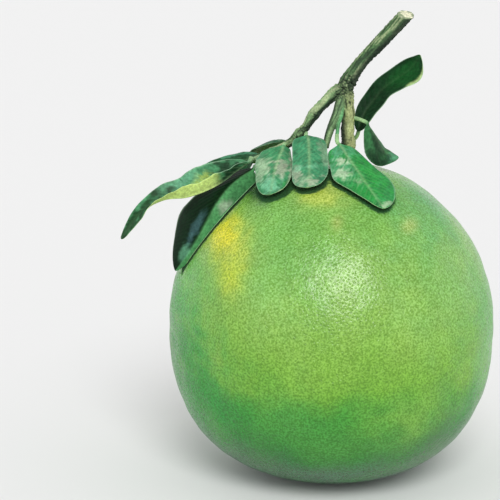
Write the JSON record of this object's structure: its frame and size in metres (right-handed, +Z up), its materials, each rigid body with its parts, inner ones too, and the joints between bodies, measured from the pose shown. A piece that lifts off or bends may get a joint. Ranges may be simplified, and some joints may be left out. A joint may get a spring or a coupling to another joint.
{
  "type": "pomelo",
  "caption": "Whole green pomelo as picked: a big round citrus fruit with its cut woody twig and leathery leaves draped over the top, resting on a small flat spot.",
  "frame": {"origin": "centre of the small flat spot that the fruit rests on", "axes": "+Z up along the fruit's core, -Y towards the leaves draped over the front, +X towards the side that the cut twig leans to"},
  "size_m": [0.1837, 0.1597, 0.2304],
  "materials": {
    "rind": "waxy green rind with fine oil-gland pits",
    "bark": "rough green-brown bark with pale streaks",
    "leaf": "leathery mid-green leaf, a little dusty",
    "dark_leaf": "leathery dark-green leaf",
    "pale_leaf": "leathery leaf with a pale yellow-green underside"
  },
  "bodies": {
    "root": {"fruit": "rind", "twig": "bark", "leaf_front_left": "leaf", "leaf_front_middle": "leaf", "leaf_front_right": "leaf", "leaf_small_folded": "leaf", "leaf_upright": "dark_leaf", "leaf_left_folded": "dark_leaf", "leaf_left_back": "dark_leaf", "leaf_back_short": "dark_leaf", "leaf_left_curled": "pale_leaf"}
  },
  "joints": []
}
